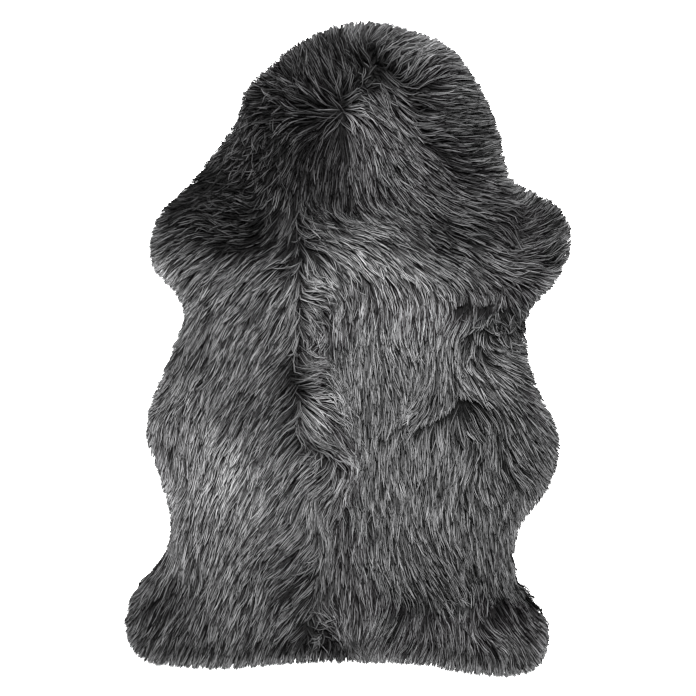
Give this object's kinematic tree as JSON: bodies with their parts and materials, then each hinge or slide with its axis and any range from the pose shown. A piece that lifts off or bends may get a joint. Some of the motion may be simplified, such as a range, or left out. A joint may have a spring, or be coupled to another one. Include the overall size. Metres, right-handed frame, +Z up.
{
  "type": "lambskin rug",
  "caption": "Long-woolled lambskin laid flat as a rug: natural hide outline with neck, fore and hind leg lobes, charcoal grey wool combed outwards from a back parting.",
  "frame": {"origin": "on the floor, under the middle of the rug's bounding box", "axes": "+Y to the neck end, +X to the right fore leg as seen from above with the neck away from the viewer, +Z up out of the wool"},
  "size_m": [0.648, 0.9532, 0.0479],
  "materials": {
    "wool": "long, soft, slightly lustrous charcoal wool"
  },
  "bodies": {
    "root": {"lambskin": "wool"}
  },
  "joints": []
}
